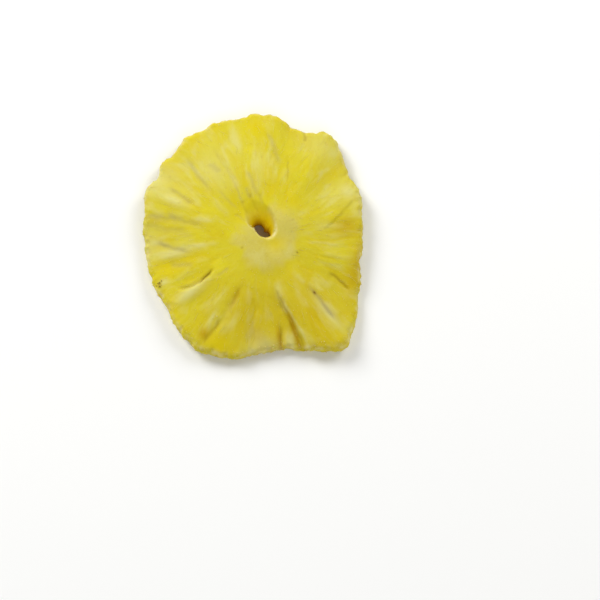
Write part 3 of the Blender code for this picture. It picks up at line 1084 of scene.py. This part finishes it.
        # The edge tone is partly painted light on the rim and a painted highlight on the near lip.
        colour = layered(colour, (
            (self.edge, blotch, 0.3, 0.6, 1.0, weight(Tint.EDGE)),
            (self.shadow, grain, 0.42, 0.25, 0.15, None),
            (self.cream, grit, 0.62, 0.74, 0.12, None),
        ))

        rough = graph.add(
            "ShaderNodeMapRange",
            {"Value": grain, "From Min": 0.3, "From Max": 0.7,
             "To Min": self.roughness_low, "To Max": self.roughness_high},
        ).outputs["Result"]
        bump = None
        for height, relief_mm, strength in (
            (times(thread, fanned), self.thread_relief_mm, 0.3),
            (grain, self.grain_relief_mm, 0.3),
            (grit, self.grit_relief_mm, 0.35),
        ):
            bump = graph.add(
                "ShaderNodeBump",
                {"Height": height, "Distance": relief_mm * METRES_PER_MM, "Strength": strength,
                 "Normal": bump},
            ).outputs["Normal"]
        shader = graph.add(
            "ShaderNodeBsdfPrincipled",
            {"Base Color": colour, "Roughness": rough, "IOR": self.ior, "Normal": bump,
             "Specular IOR Level": self.specular, "Subsurface Weight": self.subsurface,
             "Subsurface Radius": self.subsurface_colours,
             "Subsurface Scale": self.subsurface_reach_mm * METRES_PER_MM},
        )
        graph.add("ShaderNodeOutputMaterial", {"Surface": shader.outputs["BSDF"]})
        return graph.material


@dataclass(frozen=True)
class Skin:
    """The finished surface of the ring, in mm about the core, for small pieces to lie on."""

    points: np.ndarray
    normals: np.ndarray
    grid: Grid
    shift: np.ndarray

    def bearing(self) -> np.ndarray:
        """Give the bearing of each point, from 0 to 360 degrees."""
        return np.mod(np.degrees(np.arctan2(self.points[:, 1], self.points[:, 0])), 360.0)

    def reach(self) -> np.ndarray:
        """Give the reach of each point."""
        return np.hypot(self.points[:, 0], self.points[:, 1])

    def nearness(self, bearing: float, reach: float, spread: float) -> np.ndarray:
        """Weigh each point of the top by how near it lies to a place.

        Args:
            bearing: The bearing of the place.
            reach: Its reach, in mm.
            spread: How far the weight spreads, in mm.

        Returns:
            Weights from 0 to 1.
        """
        turn = math.radians(bearing)
        aside = np.hypot(self.points[:, 0] - reach * math.cos(turn),
                         self.points[:, 1] - reach * math.sin(turn))
        return bell(aside, spread) * (self.grid.level > 0.5)


@dataclass(frozen=True)
class FleshRing:
    """The ring of flesh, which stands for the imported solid."""

    form: RingForm = RingForm()
    pattern: FleshPattern = FleshPattern()
    finish: FleshFinish = FleshFinish()
    sectors: int = 560
    top_steps: int = 104
    rim_steps: int = 20
    under_steps: int = 30
    wall_steps: int = 14
    # The blank's bore has radius 1 and its rim radius 2, and it stands from -1 to +1.
    blank_bore: float = 1.0
    # How far its rim and its bore are rounded, and how full the rounding is: 1 is an ellipse.
    rim_round: float = 0.085
    wall_round: float = 0.035
    squareness: float = 0.7
    # How far a fibre runs on past the rim's edge by the slice's middle, in mm.
    run_over_edge: float = 3.0
    # How far in the rim is crumbly, as a multiple of its rounding, how high up the feet that
    # it rests on stay plain, in mm, and how much of the relief the hole's wall keeps.
    crumbly: float = 1.2
    foot_mm: float = 0.4
    wall_relief: float = 0.35
    # The core's tone fades between two distances from its middle, along a ragged edge whose
    # noise has a size and a depth, and follows the pulp segments. All are in mm.
    core_from: float = 7.4
    core_to: float = 11.2
    core_cloud: float = 5.0
    core_cloud_depth: float = 2.0
    core_segment_depth: float = 2.2
    # The pale ridge right of the hole, which has the core's tone.
    core_ridge: Mound = Mound(44.0, 9.5, 4.0, 3.6, 0.8)
    # The dry, pale edge of the hole's lip, also a painted highlight on the near lip: the middle
    # bearing and how far round that goes, and the grain of its crumbs and of the rim's, in mm.
    lip_highlight_middle: float = 273.0
    lip_highlight_turn: float = 90.0
    lip_grain: float = 0.9
    rim_grain: float = 2.0
    # How strongly the rim's upper wall is lightened: its dry, pale edge, partly painted light.
    rim_pale_and_light: float = 0.6
    name: str = "pineapple_flesh"

    def rounded_end(self, steps: int, depth: float) -> list[tuple[float, float]]:
        """Step round a half-round end of the section.

        Args:
            steps: How many steps the end takes.
            depth: How far it stands out.

        Returns:
            How far out each point stands, and its level, from the top down.
        """
        points = []
        for step in range(1, steps):
            angle = math.radians(90.0 - 180.0 * step / steps)
            out = depth * math.cos(angle) ** self.squareness
            level = math.copysign(abs(math.sin(angle)) ** self.squareness, math.sin(angle))
            points.append((out, level))
        return points

    def section(self) -> list[tuple[float, float]]:
        """Draw the blank's section.

        Returns:
            Its corners as radius and height, clockwise from the hole's top edge.
        """
        inner = self.blank_bore + self.wall_round
        outer = self.blank_bore + 1.0 - self.rim_round
        points = []
        for step in range(self.top_steps + 1):
            points.append((blend(inner, outer, step / self.top_steps), 1.0))
        for out, level in self.rounded_end(self.rim_steps, self.rim_round):
            points.append((outer + out, level))
        for step in range(self.under_steps + 1):
            points.append((blend(outer, inner, step / self.under_steps), -1.0))
        for out, level in self.rounded_end(self.wall_steps, self.wall_round):
            points.append((inner - out, -level))
        return points

    def blank(self) -> bpy.types.Mesh:
        """Turn the plain blank.

        Returns:
            The mesh of the section, turned once round.
        """
        shape = bmesh.new()
        corners = [shape.verts.new((radius, 0.0, height)) for radius, height in self.section()]
        for i in range(len(corners)):
            shape.edges.new((corners[i - 1], corners[i]))
        outline = bpy.data.meshes.new("section")
        shape.to_mesh(outline)
        shape.free()
        lathe = set_up("lathe", outline)
        turn = lathe.modifiers.new("turn", "SCREW")
        turn.steps = self.sectors
        turn.render_steps = self.sectors
        turn.use_merge_vertices = True
        turn.merge_threshold = 0.0001
        mesh = applied(lathe, self.name)
        bpy.data.meshes.remove(outline)
        return mesh

    def run_along_fibre(self, points: np.ndarray, level: np.ndarray) -> np.ndarray:
        """Measure how far each point lies along its fibre, on over the rim and the hole.

        Args:
            points: The ring's points, in mm about the core.
            level: The level of each, from -1 at the underside to 1 at the top.

        Returns:
            The run, in mm. It grows down the side of the rim and on below the slice.
        """
        return np.hypot(points[:, 0], points[:, 1]) + self.run_over_edge * (1.0 - level)

    def build(self) -> tuple[bpy.types.Object, Skin]:
        """Build the ring at its place in the frame.

        Returns:
            The ring's object, and its surface for small pieces to lie on.
        """
        mesh = self.blank()
        count = len(mesh.vertices)
        flat = np.empty(count * 3)
        mesh.vertices.foreach_get("co", flat)
        blank = flat.reshape(-1, 3)
        grid = Grid(
            np.degrees(np.arctan2(blank[:, 1], blank[:, 0])),
            np.hypot(blank[:, 0], blank[:, 1]) - self.blank_bore,
            blank[:, 2],
        )
        points = self.form.shaped(grid)
        mesh.vertices.foreach_set("co", points.ravel())
        mesh.update()

        normals = np.empty(count * 3)
        mesh.vertices.foreach_get("normal", normals)
        fibre = self.pattern.fibre_space(points, self.run_along_fibre(points, grid.level))
        edge = smooth(1.0 - self.crumbly * self.rim_round, 1.0, grid.outward)
        height, ridge = self.pattern.relief(points, fibre, edge)
        feet = smooth(0.0, self.foot_mm, points[:, 2])
        calm = blend(self.wall_relief, 1.0, smooth(0.02, 0.2, grid.outward))
        points = points + normals.reshape(-1, 3) * (height * feet * calm)[:, None]
        points[:, 2] = np.maximum(points[:, 2], 0.0)

        self.paint(mesh, points, grid, fibre, ridge)
        shift = self.shift(points)
        mesh.vertices.foreach_set("co", ((points + shift) * METRES_PER_MM).ravel())
        mesh.update()
        mesh.shade_smooth()
        mesh.vertices.foreach_get("normal", normals)
        mesh.materials.append(self.finish.material())
        return set_up(self.name, mesh), Skin(points, normals.reshape(-1, 3), grid, shift)

    def shift(self, points: np.ndarray) -> np.ndarray:
        """Work out the move from the core's millimetres to the frame's, by the solid's box.

        Args:
            points: The ring's points, in mm about the core.

        Returns:
            How far to move them along x, y and z, in mm.
        """
        lowest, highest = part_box(NODE)
        middle = (lowest + highest) / (2.0 * METRES_PER_MM)
        low = points.min(axis=0)
        high = points.max(axis=0)
        return np.array((
            middle.x - (low[0] + high[0]) / 2.0,
            middle.y - (low[1] + high[1]) / 2.0,
            lowest.z / METRES_PER_MM,
        ))

    def core_tone(self, points: np.ndarray, fibre: np.ndarray) -> np.ndarray:
        """Weigh the core's tone.

        Args:
            points: The ring's points, in mm about the core.
            fibre: The points in fibre space.

        Returns:
            1 in the core, falling to 0 along its ragged edge.
        """
        distance = np.hypot(points[:, 0] - self.form.core_x, points[:, 1] - self.form.core_y)
        ragged = self.core_cloud_depth * wavering(points / self.core_cloud, 41.0)
        segments = self.pattern.along(fibre, self.pattern.segment)
        ragged = ragged + self.core_segment_depth * segments
        return 1.0 - smooth(self.core_from, self.core_to, distance + ragged)

    def dry_edge_and_painted_light(self, points: np.ndarray, grid: Grid) -> np.ndarray:
        """Weigh the dry edges' pale tone, also painted light on the rim and a highlight on the lip.

        Args:
            points: The ring's points, in mm about the core.
            grid: Their places on the blank.

        Returns:
            The weight on the rim's upper edge and on the near lip of the hole.
        """
        level, outward = grid.level, grid.outward
        rim = smooth(0.0, 0.7, level) * (1.0 - smooth(0.75, 1.0, level)) * (outward > 0.5)
        rim = rim * np.clip(0.5 + 1.5 * wavering(points / self.rim_grain, 43.0), 0.0, 1.0)
        lip = smooth(0.75, 0.95, level) * (1.0 - smooth(0.012, 0.03, outward))
        lip = lip * np.clip(1.1 + 1.6 * wavering(points / self.lip_grain, 59.0), 0.2, 1.4)
        turn = turn_from(grid.bearing, self.lip_highlight_middle)
        return self.rim_pale_and_light * rim + lip * np.exp(-(turn / self.lip_highlight_turn) ** 4)

    def paint(self, mesh: bpy.types.Mesh, points: np.ndarray, grid: Grid, fibre: np.ndarray,
              ridge: np.ndarray) -> None:
        """Write the fibre space and the tints that the finish reads.

        Args:
            mesh: The ring's mesh.
            points: Its points, in mm about the core.
            grid: Their places on the blank.
            fibre: The points in fibre space.
            ridge: How far each point is a ridge.
        """
        level = grid.level
        bearing = np.degrees(np.arctan2(points[:, 1], points[:, 0]))
        bearing = np.where(level < 0.0, self.form.underside_turn - bearing, bearing)
        reach = np.hypot(points[:, 0], points[:, 1])
        weights = self.pattern.tones(self.form, bearing, reach)
        weights[Tint.CORE] = self.core_tone(points, fibre)
        weights[Tint.CORE] = weights[Tint.CORE] + self.core_ridge.relief(bearing, reach)
        inside = 1.0 - smooth(0.0, 1.3 * self.wall_round, grid.outward)
        weights[Tint.THROAT] = inside * (1.0 - smooth(0.4, 1.0, level))
        # Browner with depth down the hole's wall: partly its own tone, partly painted shade.
        weights[Tint.THROAT_FLOOR_BROWN_AND_SHADE] = inside * (1.0 - smooth(-0.9, 0.45, level))
        weights[Tint.EDGE] = self.dry_edge_and_painted_light(points, grid)
        weights[Tint.RIDGE] = ridge
        attribute = mesh.attributes.new("fibre", "FLOAT_VECTOR", "POINT")
        attribute.data.foreach_set("vector", fibre.ravel())
        for tint, weight in weights.items():
            attribute = mesh.attributes.new(tint.value, "FLOAT", "POINT")
            attribute.data.foreach_set("value", np.clip(weight, 0.0, 1.0))


@dataclass(frozen=True)
class PlainFinish:
    """A stuff of one colour: sugar, crumbs of flesh, fibres, dark scales or the floor."""

    name: str
    colour: str
    roughness: float
    subsurface: float = 0.0
    subsurface_reach_mm: float = 0.4

    def material(self) -> bpy.types.Material:
        """Build the material.

        Returns:
            The material, with the same finish all over.
        """
        graph = Graph(self.name)
        shader = graph.add(
            "ShaderNodeBsdfPrincipled",
            {"Base Color": linear(self.colour), "Roughness": self.roughness,
             "Subsurface Weight": self.subsurface,
             "Subsurface Scale": self.subsurface_reach_mm * METRES_PER_MM},
        )
        graph.add("ShaderNodeOutputMaterial", {"Surface": shader.outputs["BSDF"]})
        return graph.material


# Undissolved sugar: clear to the eye close by, a pale lemon grain from further off.
SUGAR = PlainFinish("sugar_grain", "#ddd070", 0.35, 0.3)
# Torn flesh at the cut edge, which dries pale.
CRUMB = PlainFinish("torn_flesh_crumb", "#dccf74", 0.6, 0.3)
# Single fibres, pale and a little glossy.
FIBRE = PlainFinish("pineapple_fibre", "#dacc5c", 0.5, 0.2)
# Woody scales of an eye that was not cut away.
WOODY = PlainFinish("woody_eye_scale", "#4a2c0a", 0.7)
# A painted studio sweep, off-white and without any shine.
SWEEP = PlainFinish("matt_white_sweep", "#fafaf8", 0.9)


@dataclass(frozen=True)
class Bits:
    """Small uneven bits strewn on the flesh, joined into one piece."""

    name: str
    finish: PlainFinish
    count: int
    smallest: float
    largest: float
    seed: int
    rounded: bool = False
    flatness: float = 0.8
    jitter: float = 0.16
    sunk: float = 0.25
    # Bearing, reach, spread and share of each place where the bits gather.
    places: tuple = ()

    def chances(self, skin: Skin) -> np.ndarray:
        """Weigh how likely each point of the skin is to carry a bit.

        Args:
            skin: The surface that the bits lie on.

        Returns:
            The weight of each point, which grows with the area that it stands for.
        """
        total = self.scatter(skin)
        for bearing, reach, spread, share in self.places:
            total = total + share * skin.nearness(bearing, reach, spread)
        return skin.reach() * total

    def scatter(self, skin: Skin) -> np.ndarray:
        """Give the weight of each point of the skin away from the places: none."""
        return np.zeros(len(skin.points))

    def bit(self) -> tuple[np.ndarray, np.ndarray]:
        """Make one bit, 1 mm across.

        Returns:
            Its corners, and the corners of its triangles.
        """
        shape = bmesh.new()
        if self.rounded:
            bmesh.ops.create_icosphere(shape, subdivisions=1, radius=0.5)
        else:
            bmesh.ops.create_cube(shape, size=0.8)
        bmesh.ops.triangulate(shape, faces=shape.faces)
        corners = np.array([tuple(corner.co) for corner in shape.verts])
        faces = np.array([[corner.index for corner in face.verts] for face in shape.faces])
        shape.free()
        return corners, faces

    def build(self, skin: Skin) -> bpy.types.Object:
        """Strew the bits.

        Args:
            skin: The surface to strew them on.

        Returns:
            One object with all bits.
        """
        chance = np.random.default_rng(self.seed)
        weights = self.chances(skin)
        spots = chance.choice(len(weights), self.count, p=weights / weights.sum())
        sizes = chance.uniform(self.smallest, self.largest, self.count)
        corners, faces = self.bit()
        shapes = corners + chance.uniform(-self.jitter, self.jitter, (self.count, *corners.shape))
        shapes = shapes * chance.uniform(self.flatness, 1.0, (self.count, 1, 3))
        turns, _ = np.linalg.qr(chance.normal(size=(self.count, 3, 3)))
        turns = turns * np.sign(np.linalg.det(turns))[:, None, None]
        shapes = np.einsum("nij,nkj->nki", turns, shapes) * sizes[:, None, None]
        lift = (0.5 - self.sunk) * sizes
        middles = skin.points[spots] + skin.normals[spots] * lift[:, None] + skin.shift
        shapes = (shapes + middles[:, None, :]) * METRES_PER_MM
        rings = faces[None] + len(corners) * np.arange(self.count)[:, None, None]
        mesh = bpy.data.meshes.new(self.name)
        mesh.from_pydata(shapes.reshape(-1, 3).tolist(), [], rings.reshape(-1, 3).tolist())
        mesh.materials.append(self.finish.material())
        return set_up(self.name, mesh)


@dataclass(frozen=True)
class SugarGrains(Bits):
    """Grains of sugar, thin on the face and thicker along the rim."""

    name: str = "sugar_grains"
    finish: PlainFinish = SUGAR
    count: int = 2600
    smallest: float = 0.08
    largest: float = 0.22
    seed: int = 11
    rim_share: float = 6.0

    def scatter(self, skin: Skin) -> np.ndarray:
        """Weigh the face, and the rim more than the face.

        Args:
            skin: The surface that the grains lie on.

        Returns:
            The weight of each point.
        """
        face = smooth(0.02, 0.1, skin.grid.outward) * (skin.grid.level > 0.5)
        rim = smooth(0.9, 0.97, skin.grid.outward) * (skin.grid.level > -0.8)
        return face + self.rim_share * rim


@dataclass(frozen=True)
class EdgeCrumbs(Bits):
    """Crumbs of torn flesh along the rim, at the crack and about the hole's lip."""

    name: str = "edge_crumbs"
    finish: PlainFinish = CRUMB
    count: int = 280
    smallest: float = 0.2
    largest: float = 0.6
    seed: int = 23
    rounded: bool = True
    flatness: float = 0.45
    sunk: float = 0.35
    # The near rim has most of them, between two bearings, where they fade in and out; the
    # rest of the rim has a share.
    near_from: float = 195.0
    near_to: float = 312.0
    near_fade: float = 12.0
    elsewhere: float = 0.15
    # The two ends of the crack's bank, the corner beside the long crease, and the ragged
    # places on the hole's lip.
    places: tuple = (
        (210.5, 27.0, 1.4, 0.35), (237.5, 27.5, 1.2, 0.35), (277.0, 33.0, 1.6, 0.5),
        (126.0, 6.3, 0.4, 9.0), (127.0, 5.0, 0.4, 9.0), (129.0, 3.6, 0.4, 9.0),
        (122.0, 2.2, 0.4, 9.0), (58.0, 1.4, 0.4, 9.0), (40.0, 2.8, 0.4, 9.0),
        (50.0, 5.0, 0.4, 9.0),
    )

    def scatter(self, skin: Skin) -> np.ndarray:
        """Weigh the rim, most of all its near side.

        Args:
            skin: The surface that the crumbs lie on.

        Returns:
            The weight of each point.
        """
        bearing = skin.bearing()
        near = smooth(self.near_from, self.near_from + self.near_fade, bearing)
        near = near * (1.0 - smooth(self.near_to - self.near_fade, self.near_to, bearing))
        rim = smooth(0.925, 0.985, skin.grid.outward) * (skin.grid.level > -0.7)
        return rim * (self.elsewhere + near)


@dataclass(frozen=True)
class EyeScales(Bits):
    """Dark scales left at the eye near the rim, and single specks elsewhere."""

    name: str = "eye_scales"
    finish: PlainFinish = WOODY
    count: int = 12
    smallest: float = 0.2
    largest: float = 0.5
    seed: int = 37
    rounded: bool = True
    flatness: float = 0.5
    places: tuple = (
        (201.3, 33.4, 0.6, 1.0), (100.9, 10.9, 0.2, 1.2), (198.8, 6.7, 0.15, 0.2),
        (341.0, 10.8, 0.15, 0.8), (314.7, 21.8, 0.3, 0.8),
    )


@dataclass(frozen=True)
class LooseFibres:
    """Fibres that have come away and lie on the flesh, most of them along it."""

    name: str = "loose_fibres"
    finish: PlainFinish = FIBRE
    count: int = 140
    shortest: float = 1.2
    longest: float = 5.0
    thinnest: float = 0.03
    thickest: float = 0.065
    step: float = 0.35
    stray_degrees: float = 14.0
    bend_radians: float = 0.06
    seed: int = 61

    def build(self, ring: bpy.types.Object, skin: Skin) -> bpy.types.Object:
        """Lay the fibres.

        Args:
            ring: The ring that they lie on.
            skin: The ring's surface.

        Returns:
            One object with all fibres.
        """
        chance = np.random.default_rng(self.seed)
        ground = BVHTree.FromObject(ring, bpy.context.evaluated_depsgraph_get())
        top = smooth(0.04, 0.12, skin.grid.outward) * (skin.grid.level > 0.9)
        weights = skin.reach() * top
        starts = chance.choice(len(weights), self.count, p=weights / weights.sum())
        curve = bpy.data.curves.new(self.name, "CURVE")
        curve.dimensions = "3D"
        curve.bevel_depth = METRES_PER_MM
        curve.bevel_resolution = 0
        for start in starts:
            steps = int(chance.uniform(self.shortest, self.longest) / self.step)
            heading = math.atan2(skin.points[start][1], skin.points[start][0])
            heading = heading + math.radians(chance.normal(0.0, self.stray_degrees))
            thick = chance.uniform(self.thinnest, self.thickest)
            place = Vector((skin.points[start] + skin.shift) * METRES_PER_MM)
            spots = []
            for _ in range(steps + 1):
                spot, normal, _, _ = ground.find_nearest(place)
                spots.append(spot + normal * thick * 0.5 * METRES_PER_MM)
                heading = heading + chance.normal(0.0, self.bend_radians)
                ahead = Vector((math.cos(heading), math.sin(heading), 0.0))
                place = spot + ahead * self.step * METRES_PER_MM
            spline = curve.splines.new("POLY")
            spline.points.add(len(spots) - 1)
            for index, spot in enumerate(spots):
                # The fibre tapers towards both ends, but not to nothing.
                along = math.pi * (index + 0.6) / (len(spots) + 0.2)
                spline.points[index].co = (*spot, 1.0)
                spline.points[index].radius = thick * math.sin(along)
        mesh = applied(set_up(self.name, curve), self.name)
        bpy.data.curves.remove(curve)
        mesh.materials.clear()
        mesh.materials.append(self.finish.material())
        return set_up(self.name, mesh)


@dataclass(frozen=True)
class Lamp:
    """One square soft lamp, aimed at the ring: its place and side are in metres."""

    name: str
    place: tuple
    side: float
    watts: float

    def hang(self) -> None:
        """Hang the lamp."""
        lamp = bpy.data.lights.new(self.name, "AREA")
        lamp.size = self.side
        lamp.energy = self.watts
        holder = set_up(self.name, lamp)
        holder.location = self.place
        holder.rotation_euler = (-Vector(self.place)).to_track_quat("-Z", "Y").to_euler()


@dataclass(frozen=True)
class Studio:
    """The floor, the light and the camera."""

    floor_size: float = 3.0
    sky: str = "#ffffff"
    sky_strength: float = 0.23
    lamps: tuple = (
        Lamp("key", (-0.6, 0.55, 0.6), 0.5, 7.9),
        Lamp("side", (0.6, 0.5, 0.6), 0.5, 4.0),
        Lamp("fill", (0.2, -0.8, 0.8), 0.9, 4.0),
    )

    camera_elevation: float = 75.0
    lens_mm: float = 90.0
    sensor_mm: float = 36.0
    frame_mm: float = 180.0
    # Where the middle of the ring's box lies in the photograph, in pixels.
    ring_pixel_x: float = 252.0
    ring_pixel_y: float = 230.5
    look_height_mm: float = 5.0

    def lay_floor(self) -> None:
        """Lay the floor."""
        shape = bmesh.new()
        bmesh.ops.create_grid(shape, x_segments=1, y_segments=1, size=self.floor_size / 2.0)
        mesh = bpy.data.meshes.new("floor")
        shape.to_mesh(mesh)
        shape.free()
        mesh.materials.append(SWEEP.material())
        set_up("floor", mesh)

    def light(self) -> None:
        """Set the sky and hang the lamps."""
        world = bpy.data.worlds.new("studio")
        world.use_nodes = True
        background = world.node_tree.nodes["Background"]
        background.inputs["Color"].default_value = linear(self.sky)
        background.inputs["Strength"].default_value = self.sky_strength
        bpy.context.scene.world = world
        for lamp in self.lamps:
            lamp.hang()
        bpy.context.scene.view_settings.view_transform = "Standard"

    def set_camera(self) -> None:
        """Stand the camera where the photograph was taken from."""
        tilt = math.radians(self.camera_elevation)
        pixel_mm = self.frame_mm / PHOTO_PIXELS
        middle = PHOTO_PIXELS / 2.0
        target = Vector((
            (middle - self.ring_pixel_x) * pixel_mm,
            (self.ring_pixel_y - middle) * pixel_mm / math.sin(tilt),
            self.look_height_mm,
        )) * METRES_PER_MM
        away = self.frame_mm * self.lens_mm / self.sensor_mm * METRES_PER_MM
        camera = bpy.data.cameras.new("camera")
        camera.lens = self.lens_mm
        camera.sensor_width = self.sensor_mm
        camera.clip_start = 0.01
        holder = set_up("camera", camera)
        holder.location = target + Vector((0.0, -math.cos(tilt), math.sin(tilt))) * away
        holder.rotation_euler = (math.pi / 2.0 - tilt, 0.0, 0.0)
        bpy.context.scene.camera = holder


def hand_over(piece: bpy.types.Object) -> None:
    """Ride a finished piece on the body and report it.

    Args:
        piece: The piece.
    """
    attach(piece, BODY)
    log.info("%s: %d vertices, %d faces", piece.name, len(piece.data.vertices),
             len(piece.data.polygons))


def main() -> None:
    """Build the studio and the ring, and note the sizes."""
    logging.basicConfig(level=logging.INFO, format="%(message)s")
    studio = Studio()
    studio.set_camera()
    studio.light()
    studio.lay_floor()

    flesh, skin = FleshRing().build()
    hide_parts(NODE)
    hand_over(flesh)
    for bits in (SugarGrains(), EdgeCrumbs(), EyeScales()):
        hand_over(bits.build(skin))
    hand_over(LooseFibres().build(flesh, skin))


if __name__ == "__main__":
    main()
